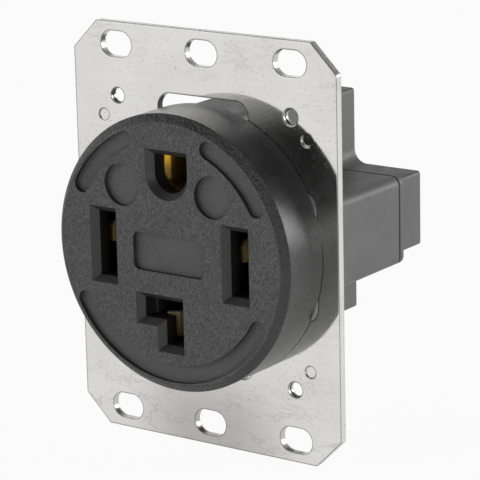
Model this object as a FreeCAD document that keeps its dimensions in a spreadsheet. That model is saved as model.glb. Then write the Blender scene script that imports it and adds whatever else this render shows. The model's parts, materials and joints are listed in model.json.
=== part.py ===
"""Four-prong dryer outlet, flush type: one parametric document, one STEP file per piece.

Millimetres. X runs to the right, Y to the rear and Z up, so the face looks towards -Y.
The origin is the centre of the strap's rear side, which seats on the wall box.
The arms of the plus-shaped body are called post (upright) and bar (level).
"""
import os

import FreeCAD
import Part
import Sketcher

doc = FreeCAD.newDocument("dryer_outlet")
dims = doc.addObject("Spreadsheet::Sheet", "dims")

SIZES = {
    # Mounting strap: plate, screw slots, cover-plate screw holes and half-pierced pips
    "strap_w": 69.6, "strap_h": 93.3, "strap_t": 1.7, "strap_cut": 6.45, "strap_r": 0.8,
    "box_dx": 46.04, "box_dz": 83.34, "slot_len": 8.4, "slot_wide": 5.8,
    "plate_dx": 46.04, "plate_dz": 60.33, "plate_hole": 3.6,
    "pip_dx": 54.1, "pip_dz": 51.06, "pip_dia": 2.75, "pip_rise": 0.25,
    # Window in the strap: clearances round the body's post and bar, corner radius
    "gap_post_side": 3.35, "gap_post_top": 3.35, "gap_post_low": 1.35,
    "gap_bar_side": 4.1, "gap_bar_end": 1.94, "window_r": 3.2,
    # Face: outside, walls, funnel mouths
    "face_dia": 61.46, "face_h": 13.64, "face_bevel": 1.6, "face_front": 5.1, "face_rim": 2.4,
    "face_foot": 0.25, "mouth_w": 1.35, "mouth_d": 1.7,
    # Blade slots at the bottom of the funnels
    "hot_dx": 35.13, "blade_slot": 4.5, "hot_l": 14.5,
    "pin_w": 8.5, "pin_z": 17.6, "pin_top": 4.05,
    "neutral_z": 10.6, "neutral_l": 10.05, "neutral_arm": 7.85,
    # Shallow bare recesses in the face: arcs, discs and the middle panel
    "pad_r": 26.55, "pad_w": 3.9, "pad_d": 1.1, "pad_from": 29.5, "pad_to": 65.8,
    "disc_dx": 24.0, "disc_z": 14.2, "disc_dia": 9.5,
    "panel_w": 18.9, "panel_h": 8.5, "panel_r": 1.5,
    # Body housing: arm widths, arm ends beyond the terminals, depth behind the strap
    "post_w": 17.2, "post_end": 11.25, "bar_w": 20.4, "bar_end": 9.735, "house_d": 34.0,
    "house_r": 2.0, "inside_r": 2.5, "house_wall": 2.4, "well_wall": 2.4, "well_floor": 5.0,
    # Rear cover: insets from the housing, shadow seam, lip, depth and walls
    "side_inset": 1.57, "end_inset": 2.69, "seam": 0.55, "seam_d": 1.0, "lip_t": 1.3,
    "cover_d": 13.21, "cover_wall": 1.8, "cover_back": 2.2, "cover_r": 0.7, "cove_r": 3.3,
    "edge_r": 0.5,
    # Contact chambers: room round the jaws, and collar walls inside the face
    "chamber_gap": 0.6, "collar_t": 1.6, "step_y": 12.0,
    # Brass contacts: leaves, throat, base plate and link
    "leaf_t": 1.0, "tip_gap": 1.5, "tip_r": 2.0, "tip_extra": 0.15, "flare_l": 3.3, "throat": 1.5,
    "throat_l": 4.0, "spread_l": 5.5, "foot_in": 2.9, "leaf_in": 0.95, "leaf_lap": 1.05,
    "hot_leaf": 4.15, "neutral_gap": 0.85, "neutral_lip": 5.2, "neutral_bend": 2.75, "lip_l": 1.03,
    "neutral_run": 7.0, "neutral_step": 0.3, "sleeve_gap": 0.05, "sleeve_rise": 0.3, "sleeve_tip": 0.2,
    "guide_h": 1.1, "guide_l": 0.85, "rib_h": 1.3, "rib_from": 4.0, "rib_to": 6.5, "rib_end": 9.0,
    "rib_low": 2.4, "base_t": 1.5, "base_lap": 0.8, "link_t": 1.6, "link_w": 8.0,
    # Steel spring clips round the jaws
    "clip_t": 0.6, "clip_l": 3.6, "clip_drop": 0.45,
    # Pressure terminals: cage, clamp plate, screw and wire entry
    "post_dz": 35.0, "cage_w": 10.0, "cage_t": 1.1, "cage_nut": 2.2, "cage_l": 10.2,
    "clamp_t": 0.9, "clamp_gap": 0.1, "clamp_side": 0.3, "screw_dia": 5.5, "screw_l": 4.2,
    "drive_w": 1.0, "drive_d": 1.2, "access_gap": 0.45,
    "wire_dia": 6.4, "wire_mouth": 1.1,
    # Fasteners: strap screws, long assembly screw and the bosses they bite into
    "boss_dx": 34.0, "boss_dz": 38.0, "boss_dia": 7.6, "pan_dia": 6.4, "pan_h": 2.2, "pan_cross": 4.0,
    "tap_dia": 3.2, "tap_l": 8.0, "hole_gap": 0.2,
    "long_dia": 4.2, "long_bite": 7.5, "long_head": 8.0, "long_head_h": 3.2,
    "long_cross": 5.0, "head_gap": 0.3, "core_dia": 10.0,
    # Ground jumper between strap and ground contact
    "jumper_w": 5.0, "jumper_t": 0.8, "jumper_tail": 3.6,
}
for row, (alias, size) in enumerate(SIZES.items(), start=1):
    dims.set(f"A{row}", alias)
    dims.set(f"B{row}", str(size))
    dims.setAlias(f"B{row}", alias)
doc.recompute()

# Levels along Y and half sizes that several pieces share, as expressions on the sheet
STRAP_FRONT = "-dims.strap_t"
FACE_FRONT = "-(dims.strap_t + dims.face_h)"
FACE_INSIDE = f"({FACE_FRONT} + dims.face_front)"
CUP_DEPTH = "(dims.face_h - dims.face_front)"
SEAM_REAR = "(dims.house_d + dims.seam)"
COVER_REAR = f"({SEAM_REAR} + dims.cover_d)"
COVER_INSIDE = f"({COVER_REAR} - dims.cover_back)"
HEAD_SEAT = f"({COVER_REAR} - dims.long_head_h - dims.head_gap)"
HOT_X = "(dims.hot_dx / 2)"
POST_Z = "(dims.post_dz / 2)"
POST_HALF = "(dims.post_w / 2)"
POST_LONG = f"({POST_Z} + dims.post_end)"
BAR_HALF = "(dims.bar_w / 2)"
BAR_LONG = f"({HOT_X} + dims.bar_end)"
CAGE_HALF = "(dims.cage_w / 2)"
CAGE_FRONT = f"({COVER_INSIDE} - dims.cage_l)"
SCREW_Y = f"({COVER_INSIDE} - dims.cage_l / 2 + dims.cage_t / 2)"
NUT_INSIDE = f"(dims.cage_nut - {CAGE_HALF})"
CLAMP_OUT = f"({NUT_INSIDE} + dims.clamp_gap)"
CLAMP_IN = f"({CLAMP_OUT} + dims.clamp_t)"
CAGE_FAR = f"({CAGE_HALF} - dims.cage_t)"
WIRE_MID = f"(({CLAMP_IN} + {CAGE_FAR}) / 2)"
LEAF_TIP = f"({FACE_INSIDE} + dims.tip_gap)"
NEUTRAL_TIP = f"({FACE_INSIDE} + dims.neutral_gap)"
SLEEVE_TIP = f"({FACE_INSIDE} + dims.sleeve_tip)"
TIP_X = "(dims.blade_slot / 2 + dims.tip_extra)"
THROAT_FROM = f"({LEAF_TIP} + dims.flare_l)"
NEUTRAL_THROAT = f"({NEUTRAL_TIP} + dims.neutral_run)"
FOOT_OUT = "(dims.foot_in + dims.leaf_t)"
CLIP_REAR = "(dims.throat_l + dims.clip_l) / 2"
CLIP_IN = "(dims.throat / 2 + dims.leaf_t)"
HOT_TOP = "(dims.hot_l / 2)"
NEUTRAL_LOW = "(dims.neutral_z + dims.neutral_l)"
SLEEVE_IN = "(dims.pin_w / 2 + dims.sleeve_gap)"
SLEEVE_OUT = f"({SLEEVE_IN} + dims.leaf_t)"
SLEEVE_TOP = "(dims.pin_z + dims.pin_top + dims.sleeve_rise)"
BASE_REAR = "(dims.step_y + dims.base_t)"

# Chambers for the jaws, each as (low x, high x, low z, high z)
HOT_SIDE = f"({FOOT_OUT} + dims.chamber_gap)"
HOT_REACH = f"({HOT_TOP} - dims.clip_drop + dims.clip_t + dims.chamber_gap)"
PIN_SIDE = f"({SLEEVE_OUT} + dims.clip_t + dims.chamber_gap / 2)"
PIN_WELL = (
    f"-{PIN_SIDE}", PIN_SIDE,
    f"dims.pin_z - {PIN_SIDE}", f"{SLEEVE_TOP} + dims.chamber_gap",
)
NEUTRAL_WELL = (
    "-(dims.neutral_arm - dims.chamber_gap)", HOT_SIDE,
    f"-({NEUTRAL_LOW} + dims.clip_t + dims.chamber_gap)", "-(dims.neutral_z - dims.chamber_gap)",
)


def hot_well(side):
    """Chamber round a hot contact, left (side -1) or right (side 1)."""
    middle = f"{side} * {HOT_X}"
    return (f"{middle} - {HOT_SIDE}", f"{middle} + {HOT_SIDE}", f"-{HOT_REACH}", HOT_REACH)


def front_wells():
    """All four chambers as they meet the face."""
    return [hot_well(-1), hot_well(1), PIN_WELL, NEUTRAL_WELL]


def grown(well, wall):
    """A chamber's outline moved outwards by a wall thickness."""
    low_x, high_x, low_z, high_z = well
    return (f"{low_x} - {wall}", f"{high_x} + {wall}", f"{low_z} - {wall}", f"{high_z} + {wall}")


def corners(area):
    """Corner list of a rectangle given as (low u, high u, low v, high v)."""
    low_u, high_u, low_v, high_v = area
    return [(low_u, low_v), (high_u, low_v), (high_u, high_v), (low_u, high_v)]


def plus(post_half, post_long, bar_half, bar_long, post_low=None):
    """Corner list of a plus-shaped outline from the post's top; its lower end may differ."""
    arms = [(post_half, bar_half), (bar_long, bar_half)]
    high = [(post_half, post_long)] + arms
    low = [(post_half, post_low or post_long)] + arms
    lower_right = [(u, f"-{v}") for u, v in reversed(low)]
    lower_left = [(f"-{u}", f"-{v}") for u, v in low]
    upper_left = [(f"-{u}", v) for u, v in reversed(high)]
    return high + lower_right + lower_left + upper_left


class Piece:
    """One piece of the outlet: a body with its own label and placement, built feature by feature."""

    def __init__(self, label, x="0", z="0"):
        self.body = doc.addObject("PartDesign::Body", label)
        self.body.Label = label
        self.body.setExpression("Placement.Base.x", x)
        self.body.setExpression("Placement.Base.z", z)
        pieces.append(self.body)

    def sketch(self, plane, level):
        """Sketch on an origin plane moved to a level: XZ at a Y, XY at a Z or YZ at an X."""
        sheet = self.body.newObject("Sketcher::SketchObject", f"{self.body.Name}_sketch")
        origin = self.body.Origin.OriginFeatures
        support = next(item for item in origin if item.Role == f"{plane}_Plane")
        sheet.AttachmentSupport = [(support, "")]
        sheet.MapMode = "FlatFace"
        sign = "-" if plane == "XZ" else ""
        sheet.setExpression("AttachmentOffset.Base.z", f"{sign}({level})")
        return sheet

    def feature(self, kind, sheet, length, flipped=False):
        """Pad or pocket of a sketch; the change of volume shows that it met the solid."""
        tip = self.body.Tip
        before = tip.Shape.Volume if tip else 0.0
        result = self.body.newObject(f"PartDesign::{kind}", f"{self.body.Name}_{kind}")
        result.Profile = sheet
        result.setExpression("Length", length)
        result.Reversed = flipped
        doc.recompute()
        gained = result.Shape.Volume - before
        if gained * (1 if kind == "Pad" else -1) <= 0:
            raise RuntimeError(f"{result.Name} changes nothing")
        return result

    def pad(self, level, outlines, length):
        """Solid from outlines at a Y level, growing towards the front."""
        sheet = self.sketch("XZ", level)
        for outline in outlines:
            outline(sheet)
        return self.feature("Pad", sheet, length)

    def pocket(self, level, outlines, length):
        """Cut from outlines at a Y level, going towards the rear."""
        sheet = self.sketch("XZ", level)
        for outline in outlines:
            outline(sheet)
        return self.feature("Pocket", sheet, length)

    def leaf(self, level, outline, width):
        """Bent strip: its profile in the XY plane, pulled upwards from a Z level."""
        sheet = self.sketch("XY", level)
        outline(sheet)
        return self.feature("Pad", sheet, width)

    def cross_cut(self, plane, level, outlines, length):
        """Cut from outlines along the normal of a plane, from a level towards the plus side."""
        sheet = self.sketch(plane, level)
        for outline in outlines:
            outline(sheet)
        return self.feature("Pocket", sheet, length, flipped=True)

    def bore(self, plane, level, spots, diameter, length):
        """Round cuts along the normal of a plane, from a level towards the plus side."""
        return self.cross_cut(plane, level, [circle(*spot, diameter) for spot in spots], length)

    def fillet(self, radius, chosen):
        """Round the edges of the present solid that a test picks."""
        base = self.body.Tip
        names = [f"Edge{i}" for i, edge in enumerate(base.Shape.Edges, start=1) if chosen(edge)]
        if not names:
            raise RuntimeError(f"{self.body.Name} has no edge to round")
        result = self.body.newObject("PartDesign::Fillet", f"{self.body.Name}_Fillet")
        result.Base = (base, names)
        result.setExpression("Radius", radius)
        doc.recompute()
        return result


def drive(sheet, kind, geometry, point, expression, start):
    """Constraint from the sketch's origin to a point, bound to an expression."""
    index = sheet.addConstraint(Sketcher.Constraint(kind, -1, 1, geometry, point, start))
    sheet.setExpression(f"Constraints[{index}]", expression)


def place(sheet, geometry, point, spot):
    """Bind both coordinates of a sketch point."""
    start = sheet.getPoint(geometry, point)
    drive(sheet, "DistanceX", geometry, point, spot[0], start.x)
    drive(sheet, "DistanceY", geometry, point, spot[1], start.y)


def polygon(points):
    """Closed outline with every corner bound to a pair of expressions."""

    def draw(sheet):
        first = sheet.GeometryCount
        count = len(points)
        turn = FreeCAD.Rotation(FreeCAD.Vector(0, 0, 1), 360 / count)
        corner = FreeCAD.Vector(20, 0, 0)
        for _ in points:
            following = turn.multVec(corner)
            sheet.addGeometry(Part.LineSegment(corner, following))
            corner = following
        for i in range(count):
            following = first + (i + 1) % count
            sheet.addConstraint(Sketcher.Constraint("Coincident", first + i, 2, following, 1))
        for i, spot in enumerate(points):
            place(sheet, first + i, 1, spot)

    return draw


def rectangle(area):
    """Upright rectangle given as (low u, high u, low v, high v)."""
    return polygon(corners(area))


def circle(u, v, diameter):
    """Circle with its centre and diameter bound."""

    def draw(sheet):
        unit = Part.Circle(FreeCAD.Vector(1, 1, 0), FreeCAD.Vector(0, 0, 1), 1)
        geometry = sheet.addGeometry(unit)
        place(sheet, geometry, 3, (u, v))
        index = sheet.addConstraint(Sketcher.Constraint("Diameter", geometry, 2.0))
        sheet.setExpression(f"Constraints[{index}]", diameter)

    return draw


def arc(centre, radius, start, end):
    """Arc of a circle in sketch coordinates, angles in degrees."""
    whole = Part.Circle(FreeCAD.Vector(*centre, 0), FreeCAD.Vector(0, 0, 1), radius)
    to_radians = FreeCAD.Units.Quantity("1 deg").getValueAs("rad").Value
    return Part.ArcOfCircle(whole, start * to_radians, end * to_radians)


def line(first, last):
    """Straight line in sketch coordinates."""
    return Part.LineSegment(FreeCAD.Vector(*first, 0), FreeCAD.Vector(*last, 0))


def stadium(u, v, length, width):
    """Level slot with round ends, centred on (u, v)."""

    def draw(sheet):
        right = sheet.addGeometry(arc((2, 0), 1, -90, 90))
        top = sheet.addGeometry(line((2, 1), (-2, 1)))
        left = sheet.addGeometry(arc((-2, 0), 1, 90, 270))
        low = sheet.addGeometry(line((-2, -1), (2, -1)))
        ring = [right, top, left, low]
        for i, geometry in enumerate(ring):
            sheet.addConstraint(Sketcher.Constraint("Tangent", geometry, 2, ring[(i + 1) % 4], 1))
        sheet.addConstraint(Sketcher.Constraint("Equal", right, left))
        index = sheet.addConstraint(Sketcher.Constraint("Radius", right, 1.0))
        sheet.setExpression(f"Constraints[{index}]", f"{width} / 2")
        reach = f"({length} - {width}) / 2"
        place(sheet, right, 3, (f"{u} + {reach}", v))
        place(sheet, left, 3, (f"{u} - {reach}", v))

    return draw


def u_shape(half, middle, top):
    """Outline with a flat top, straight sides and a round bottom about (0, middle)."""

    def draw(sheet):
        left = sheet.addGeometry(line((-5, 22), (-5, 17)))
        low = sheet.addGeometry(arc((0, 17), 5, 180, 360))
        right = sheet.addGeometry(line((5, 17), (5, 22)))
        lid = sheet.addGeometry(line((5, 22), (-5, 22)))
        ring = [left, low, right, lid]
        for i, geometry in enumerate(ring):
            sheet.addConstraint(Sketcher.Constraint("Coincident", geometry, 2, ring[(i + 1) % 4], 1))
        place(sheet, left, 1, (f"-{half}", top))
        place(sheet, left, 2, (f"-{half}", middle))
        place(sheet, right, 1, (half, middle))
        place(sheet, right, 2, (half, top))
        drive(sheet, "DistanceY", low, 3, middle, 17.0)

    return draw


def u_strip(inner, outer, middle, top):
    """Strip bent to a U: the outer outline with the inner one cut out of it, open at the top."""

    def draw(sheet):
        shapes = {
            "out_left": line((-6, 22), (-6, 17)), "out_arc": arc((0, 17), 6, 180, 360),
            "out_right": line((6, 17), (6, 22)), "lid_right": line((6, 22), (5, 22)),
            "in_right": line((5, 22), (5, 17)), "in_arc": arc((0, 17), 5, 180, 360),
            "in_left": line((-5, 17), (-5, 22)), "lid_left": line((-5, 22), (-6, 22)),
        }
        index = {name: sheet.addGeometry(shape) for name, shape in shapes.items()}
        joints = [
            ("out_left", 2, "out_arc", 1), ("out_arc", 2, "out_right", 1),
            ("out_right", 2, "lid_right", 1), ("lid_right", 2, "in_right", 1),
            ("in_right", 2, "in_arc", 2), ("in_arc", 1, "in_left", 1),
            ("in_left", 2, "lid_left", 1), ("lid_left", 2, "out_left", 1),
        ]
        for one, end, other, begin in joints:
            sheet.addConstraint(Sketcher.Constraint("Coincident", index[one], end, index[other], begin))
        place(sheet, index["out_left"], 1, (f"-{outer}", top))
        place(sheet, index["out_left"], 2, (f"-{outer}", middle))
        place(sheet, index["out_right"], 1, (outer, middle))
        place(sheet, index["out_right"], 2, (outer, top))
        place(sheet, index["in_right"], 1, (inner, top))
        place(sheet, index["in_right"], 2, (inner, middle))
        place(sheet, index["in_left"], 1, (f"-{inner}", middle))
        place(sheet, index["in_left"], 2, (f"-{inner}", top))
        drive(sheet, "DistanceY", index["out_arc"], 3, middle, 17.0)
        drive(sheet, "DistanceY", index["in_arc"], 3, middle, 17.0)

    return draw


def corner_cut(u, v, radius, up):
    """Outline outside the quarter circle that rounds a corner (u, v), upper (up 1) or lower (up -1)."""
    inside, outside = f"{v} - {up} * {radius}", f"{v} + {up} * {radius}"
    ahead, behind = f"{u} - {radius}", f"{u} + {radius}"
    corner_spots = [(u, inside), (ahead, inside), (ahead, outside), (behind, outside), (behind, v)]

    def draw(sheet):
        drawn = [(0, up), (-1, up), (-1, 3 * up), (1, 3 * up), (1, 2 * up)]
        sides = [sheet.addGeometry(line(*pair)) for pair in zip(drawn, drawn[1:])]
        bend = sheet.addGeometry(arc((1, up), 1, 90, 180) if up > 0 else arc((1, up), 1, 180, 270))
        near, far = (2, 1) if up > 0 else (1, 2)
        for one, following in zip(sides, sides[1:]):
            sheet.addConstraint(Sketcher.Constraint("Coincident", one, 2, following, 1))
        sheet.addConstraint(Sketcher.Constraint("Coincident", sides[-1], 2, bend, far))
        sheet.addConstraint(Sketcher.Constraint("Coincident", bend, near, sides[0], 1))
        for one, spot in zip(sides, corner_spots):
            place(sheet, one, 1, spot)
        place(sheet, sides[-1], 2, corner_spots[-1])
        drive(sheet, "DistanceX", bend, 3, behind, 1.0)

    return draw


def size(alias):
    """Present value of a driving dimension."""
    return float(dims.get(alias))


NEAR = 1e-4


def along_y(edge):
    """True for a straight edge that runs front to rear."""
    first, last = edge.Vertexes[0].Point, edge.Vertexes[-1].Point
    return abs(first.x - last.x) < NEAR and abs(first.z - last.z) < NEAR and abs(first.y - last.y) > NEAR


def inner_corner(half_x, half_z):
    """Test for the four concave edges of a plus, which lie on both arms' sides."""

    def chosen(edge):
        spot = edge.Vertexes[0].Point
        on_corner = abs(abs(spot.x) - half_x) < NEAR and abs(abs(spot.z) - half_z) < NEAR
        return along_y(edge) and on_corner

    return chosen


def outer_corner(half_x, half_z, cove):
    """Test for the eight convex edges of a plus whose concave corners have the radius cove."""

    def chosen(edge):
        spot = edge.CenterOfMass
        beyond = max(abs(spot.x) - half_x, abs(spot.z) - half_z)
        return along_y(edge) and beyond > cove + NEAR

    return chosen


def four(spread_x, spread_z):
    """Four spots at plus and minus half of two spreads."""
    signs = [(-1, -1), (1, -1), (1, 1), (-1, 1)]
    return [(f"{sx} * {spread_x} / 2", f"{sz} * {spread_z} / 2") for sx, sz in signs]


def make_strap():
    """Plated steel strap: plate with cut corners, slots, tapped holes, pips and the window."""
    strap = Piece("mounting_strap")
    half_w, half_h = "(dims.strap_w / 2)", "(dims.strap_h / 2)"
    flat_w, flat_h = f"({half_w} - dims.strap_cut)", f"({half_h} - dims.strap_cut)"
    outline = [(half_w, f"-{flat_h}"), (half_w, flat_h), (flat_w, half_h), (f"-{flat_w}", half_h)]
    outline += [(f"-{half_w}", flat_h), (f"-{half_w}", f"-{flat_h}")]
    outline += [(f"-{flat_w}", f"-{half_h}"), (flat_w, f"-{half_h}")]
    strap.pad("0", [polygon(outline)], "dims.strap_t")
    strap.fillet("dims.strap_r", along_y)
    window = plus(
        f"({POST_HALF} + dims.gap_post_side)", f"({POST_LONG} + dims.gap_post_top)",
        f"({BAR_HALF} + dims.gap_bar_side)", f"({BAR_LONG} + dims.gap_bar_end)",
        post_low=f"({POST_LONG} + dims.gap_post_low)",
    )
    plate = strap.body.Tip.Shape.copy()
    strap.pocket(STRAP_FRONT, [polygon(window)], "dims.strap_t")
    outside = [edge.CenterOfMass for edge in plate.Edges]

    def in_window(edge):
        middle = edge.CenterOfMass
        return along_y(edge) and all(middle.distanceToPoint(spot) > NEAR for spot in outside)

    strap.fillet("dims.window_r", in_window)
    columns = ["-dims.box_dx / 2", "0", "dims.box_dx / 2"]
    spots = [(u, f"{side} * dims.box_dz / 2") for u in columns for side in (-1, 1)]
    slots = [stadium(*spot, "dims.slot_len", "dims.slot_wide") for spot in spots]
    strap.pocket(STRAP_FRONT, slots, "dims.strap_t")
    free = "dims.tap_dia + 2 * dims.hole_gap"
    holes = [circle(*spot, "dims.plate_hole") for spot in four("dims.plate_dx", "dims.plate_dz")]
    holes += [circle(*spot, free) for spot in four("dims.boss_dx", "dims.boss_dz")]
    strap.pocket(STRAP_FRONT, holes, "dims.strap_t")
    pips = [circle(*spot, "dims.pip_dia") for spot in four("dims.pip_dx", "dims.pip_dz")]
    strap.pad("dims.pip_rise", pips, "dims.pip_rise")
    strap.pocket(STRAP_FRONT, pips, "dims.pip_rise")


def funnel(piece, mouth, slot, throat):
    """Blade slot: a tapering mouth from the front plane, then straight through the front wall."""
    wide = piece.sketch("XZ", FACE_FRONT)
    mouth(wide)
    narrow = piece.sketch("XZ", f"{FACE_FRONT} + dims.mouth_d")
    slot(narrow)
    before = piece.body.Tip.Shape.Volume
    loft = piece.body.newObject("PartDesign::SubtractiveLoft", f"{piece.body.Name}_mouth")
    loft.Profile = wide
    loft.Sections = [narrow]
    loft.Ruled = True
    doc.recompute()
    if loft.Shape.Volume >= before:
        raise RuntimeError(f"{loft.Name} cuts nothing")
    piece.pocket(f"{FACE_FRONT} + dims.mouth_d", [throat], "dims.face_front - dims.mouth_d")


def l_outline(grow):
    """Outline of the L-shaped neutral slot, moved outwards by an expression."""
    half = f"(dims.blade_slot / 2 + {grow})"
    top = f"-(dims.neutral_z - {grow})"
    arm = f"-(dims.neutral_arm + {grow})"
    knee = f"-(dims.neutral_z + dims.blade_slot + {grow})"
    low = f"-({NEUTRAL_LOW} + {grow})"
    return [(half, low), (half, top), (arm, top), (arm, knee), (f"-{half}", knee), (f"-{half}", low)]


def arc_recess(piece, high_angle, sweep):
    """Shallow arc-shaped recess: a revolved cut with round ends."""
    sheet = piece.sketch("XY", "0")
    about_y = FreeCAD.Rotation(FreeCAD.Vector(0, 1, 0), 1)
    sheet.AttachmentOffset = FreeCAD.Placement(FreeCAD.Vector(), about_y)
    sheet.setExpression("AttachmentOffset.Rotation.Angle", f"-({high_angle})")
    inner, outer = "dims.pad_r - dims.pad_w / 2", "dims.pad_r + dims.pad_w / 2"
    rectangle((inner, outer, FACE_FRONT, f"{FACE_FRONT} + dims.pad_d"))(sheet)
    before = piece.body.Tip.Shape.Volume
    groove = piece.body.newObject("PartDesign::Groove", f"{piece.body.Name}_arc")
    groove.Profile = sheet
    groove.ReferenceAxis = (sheet, ["V_Axis"])
    groove.setExpression("Angle", sweep)
    doc.recompute()
    if groove.Shape.Volume >= before:
        raise RuntimeError(f"{groove.Name} cuts nothing")
    ends = [high_angle, f"({high_angle}) - ({sweep})"]
    spots = [(f"dims.pad_r * cos({a})", f"dims.pad_r * sin({a})") for a in ends]
    piece.pocket(FACE_FRONT, [circle(*spot, "dims.pad_w") for spot in spots], "dims.pad_d")


def make_face():
    """Moulded face: bevelled cup with funnel slots, bare recesses and screw bosses."""
    face = Piece("face")
    section = face.sketch("XY", "0")
    rim = "(dims.face_dia / 2)"
    inside = f"({rim} - dims.face_rim)"
    polygon([
        ("0", FACE_FRONT), (f"{rim} - dims.face_bevel", FACE_FRONT),
        (rim, f"{FACE_FRONT} + dims.face_bevel"), (rim, f"{STRAP_FRONT} - dims.face_foot"),
        (f"{rim} - dims.face_foot", STRAP_FRONT), (inside, STRAP_FRONT),
        (inside, FACE_INSIDE), ("0", FACE_INSIDE),
    ])(section)
    cup = face.body.newObject("PartDesign::Revolution", "face_cup")
    cup.Profile = section
    cup.ReferenceAxis = (section, ["V_Axis"])
    cup.Angle = 360
    doc.recompute()
    bosses = [circle(*spot, "dims.boss_dia") for spot in four("dims.boss_dx", "dims.boss_dz")]
    face.pad(STRAP_FRONT, bosses + [circle("0", "0", "dims.core_dia")], CUP_DEPTH)
    pilots = [circle(*spot, "dims.tap_dia") for spot in four("dims.boss_dx", "dims.boss_dz")]
    face.pocket("-(dims.strap_t + dims.tap_l)", pilots, "dims.tap_l")
    long_pilot = circle("0", "0", "dims.long_dia")
    face.pocket("-(dims.strap_t + dims.long_bite)", [long_pilot], "dims.long_bite")
    for side in (-1, 1):
        middle = f"{side} * {HOT_X}"
        half = "dims.blade_slot / 2"
        slot = (f"{middle} - {half}", f"{middle} + {half}", f"-{HOT_TOP}", HOT_TOP)
        funnel(face, rectangle(grown(slot, "dims.mouth_w")), rectangle(slot), rectangle(slot))
    pin_top = "(dims.pin_z + dims.pin_top)"
    pin_slot = u_shape("(dims.pin_w / 2)", "dims.pin_z", pin_top)
    pin_mouth = u_shape("(dims.pin_w / 2 + dims.mouth_w)", "dims.pin_z", f"{pin_top} + dims.mouth_w")
    funnel(face, pin_mouth, pin_slot, pin_slot)
    neutral_slot = polygon(l_outline("0"))
    funnel(face, polygon(l_outline("dims.mouth_w")), neutral_slot, neutral_slot)
    arc_recess(face, "dims.pad_to", "dims.pad_to - dims.pad_from")
    arc_recess(face, "180 - dims.pad_from", "dims.pad_to - dims.pad_from")
    arc_recess(face, "-dims.pad_from", "180 - 2 * dims.pad_from")
    spots = [(f"{side} * dims.disc_dx / 2", "dims.disc_z") for side in (-1, 1)]
    face.pocket(FACE_FRONT, [circle(*spot, "dims.disc_dia") for spot in spots], "dims.pad_d")
    panel = ("-dims.panel_w / 2", "dims.panel_w / 2", "-dims.panel_h / 2", "dims.panel_h / 2")
    face.pocket(FACE_FRONT, [rectangle(panel)], "dims.pad_d")
    half_w, half_h = size("panel_w") / 2, size("panel_h") / 2
    face.fillet("dims.panel_r", inner_corner(half_w, half_h))


def bar_room(side):
    """Rear chamber in a bar arm, from beside the centre well to the arm's end wall."""
    near = f"({HOT_X} - {CAGE_HALF} - dims.chamber_gap)"
    far = f"({BAR_LONG} - dims.end_inset - dims.cover_wall)"
    area = (f"{near}", f"{far}") if side > 0 else (f"-{far}", f"-{near}")
    reach = f"({BAR_HALF} - dims.house_wall)"
    return (*area, f"-{reach}", reach)


def post_room(side):
    """Rear chamber in a post arm, above (side 1) or below (side -1) the centre well."""
    near = f"({POST_Z} - {CAGE_HALF} - dims.chamber_gap)"
    far = f"({POST_LONG} - dims.end_inset - dims.cover_wall)"
    area = (f"{near}", f"{far}") if side > 0 else (f"-{far}", f"-{near}")
    reach = f"({POST_HALF} - dims.house_wall)"
    return (f"-{reach}", reach, *area)


def make_housing():
    """Plus-shaped body through the strap's window: collars in front, stepped chambers, cored centre."""
    house = Piece("body_housing")
    outline = plus(POST_HALF, POST_LONG, BAR_HALF, BAR_LONG)
    house.pad("dims.house_d", [polygon(outline)], "dims.house_d + dims.strap_t")
    corner = (size("post_w") / 2, size("bar_w") / 2)
    house.fillet("dims.inside_r", inner_corner(*corner))
    house.fillet("dims.house_r", outer_corner(*corner, size("inside_r")))
    inset = plus(*(f"({half} - dims.seam_d)" for half in (POST_HALF, POST_LONG, BAR_HALF, BAR_LONG)))
    house.pad(SEAM_REAR, [polygon(inset)], "dims.seam")
    collars = [rectangle(grown(well, "dims.collar_t")) for well in front_wells()]
    house.pad(STRAP_FRONT, collars, CUP_DEPTH)
    wells = [rectangle(well) for well in front_wells()]
    house.pocket(FACE_INSIDE, wells, f"dims.step_y - {FACE_INSIDE}")
    rooms = [bar_room(-1), bar_room(1), post_room(-1), post_room(1)]
    house.pocket("dims.step_y", [rectangle(room) for room in rooms], f"{SEAM_REAR} - dims.step_y")
    shaft = circle("0", "0", "dims.long_dia + 2 * dims.hole_gap")
    house.pocket(STRAP_FRONT, [shaft], f"dims.strap_t + {SEAM_REAR}")
    well = [rectangle(centre_well()), circle("0", "0", "dims.core_dia")]
    house.pocket("dims.well_floor", well, f"{SEAM_REAR} - dims.well_floor")
    passage = house.sketch("YZ", f"-{POST_HALF}")
    slit = "dims.hole_gap"
    middle = "dims.boss_dz / 2"
    half = f"(dims.jumper_w / 2 + {slit})"
    rectangle((f"-{slit}", f"dims.jumper_t + {slit}", f"{middle} - {half}", f"{middle} + {half}"))(passage)
    house.feature("Pocket", passage, f"{POST_HALF} - {SLEEVE_OUT}", flipped=True)


def centre_well():
    """Cored-out middle of the body, a wall away from the four chambers."""
    half_x = f"({HOT_X} - {CAGE_HALF} - dims.chamber_gap - dims.well_wall)"
    half_z = f"({BAR_HALF} - dims.side_inset - dims.cover_wall)"
    return (f"-{half_x}", half_x, f"-{half_z}", half_z)


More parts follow.
